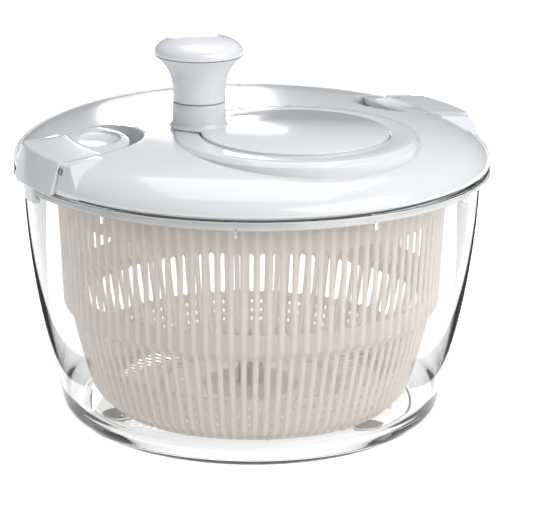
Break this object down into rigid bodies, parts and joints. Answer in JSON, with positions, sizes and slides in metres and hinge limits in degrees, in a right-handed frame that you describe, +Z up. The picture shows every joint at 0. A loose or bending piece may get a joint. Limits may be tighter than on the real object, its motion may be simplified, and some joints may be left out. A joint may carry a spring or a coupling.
{
  "type": "salad spinner",
  "caption": "Crank salad spinner: clear bowl, slotted basket on a centre pivot, and a domed lid with an offset crank knob, hidden gear train and rocker latches.",
  "frame": {"origin": "middle of the base on the surface that the rubber feet stand on, on the spin axis", "axes": "+Z up along the spin axis; the two latches lie on the X axis; the crank's own axis lies towards -Y"},
  "size_m": [0.2558, 0.2506, 0.2088],
  "materials": {
    "bowl_clear": "polished clear styrene-acrylonitrile, no tint",
    "basket_frosted": "translucent frosted polypropylene, satin",
    "lid_white": "glossy cool white ABS",
    "latch_white": "glossy cool white ABS",
    "crank_white": "glossy cool white ABS",
    "knob_white": "glossy cool white ABS, a little softer than the lid",
    "inner_plastic": "satin natural white plastic",
    "gear_acetal": "satin natural acetal",
    "steel": "bright stainless steel",
    "spring_steel": "drawn stainless spring wire",
    "brass": "turned bearing brass",
    "foot_rubber": "matt grey-brown soft rubber"
  },
  "bodies": {
    "bowl": {"bowl": "bowl_clear", "rubber_foot_1": "foot_rubber", "rubber_foot_2": "foot_rubber", "rubber_foot_3": "foot_rubber", "pivot_pin": "steel"},
    "basket_carrier": {"basket_bush": "inner_plastic"},
    "basket": {"basket": "basket_frosted"},
    "lid": {"lid_cover": "lid_white", "lid_base": "inner_plastic", "lid_screw_1": "steel", "lid_screw_2": "steel", "lid_screw_3": "steel", "lid_screw_4": "steel", "lid_screw_5": "steel", "lid_screw_6": "steel", "latch_pin_left": "steel", "latch_pin_right": "steel", "latch_spring_left": "spring_steel", "latch_spring_right": "spring_steel", "crank_bush": "brass", "shaft_bush": "brass"},
    "latch_right": {"latch_right": "latch_white"},
    "latch_left": {"latch_left": "latch_white"},
    "crank": {"crank_plate": "crank_white", "crank_gear": "gear_acetal", "crank_washer": "steel", "crank_screw": "steel", "knob_spindle": "steel", "knob_retainer": "steel"},
    "knob": {"knob_grip": "knob_white", "knob_cap": "knob_white"},
    "driver": {"pinion": "gear_acetal", "drive_shaft": "steel", "drive_plate": "inner_plastic", "drive_washer": "steel", "drive_screw": "steel"}
  },
  "joints": [
    {"name": "lid_lift", "type": "slide", "parent": "bowl", "child": "lid", "axis": [0, 0, 1], "range_m": [0, 0.26]},
    {"name": "basket_lift", "type": "slide", "parent": "bowl", "child": "basket_carrier", "axis": [0, 0, 1], "range_m": [0, 0.13]},
    {"name": "basket_spin", "type": "hinge", "parent": "basket_carrier", "child": "basket", "pos_m": [0, 0, 0.02], "axis": [0, 0, 1], "continuous": true},
    {"name": "crank_spin", "type": "hinge", "parent": "lid", "child": "crank", "pos_m": [0, -0.046, 0.16], "axis": [0, 0, 1], "continuous": true},
    {"name": "driver_spin", "type": "hinge", "parent": "lid", "child": "driver", "pos_m": [0, 0, 0.14], "axis": [0, 0, 1], "continuous": true},
    {"name": "knob_spin", "type": "hinge", "parent": "crank", "child": "knob", "pos_m": [-0.03669, -0.01057, 0.18], "axis": [0, 0, 1], "continuous": true},
    {"name": "latch_right_press", "type": "hinge", "parent": "lid", "child": "latch_right", "pos_m": [0.1195, 0, 0.1498], "axis": [0, -1, 0], "range_deg": [0, 11], "stiffness_Nm_per_rad": 0.4, "springref_deg": -8.59, "deforming": ["latch_spring_right"]},
    {"name": "latch_left_press", "type": "hinge", "parent": "lid", "child": "latch_left", "pos_m": [-0.1195, 0, 0.1498], "axis": [0, 1, 0], "range_deg": [0, 11], "stiffness_Nm_per_rad": 0.4, "springref_deg": -8.59, "deforming": ["latch_spring_left"]}
  ],
  "couplings": [
    {"joint": "driver_spin", "follows": "crank_spin", "ratio": -3.4},
    {"joint": "basket_spin", "follows": "crank_spin", "ratio": -3.4},
    {"joint": "basket_lift", "follows": "lid_lift", "ratio": 0.5}
  ]
}
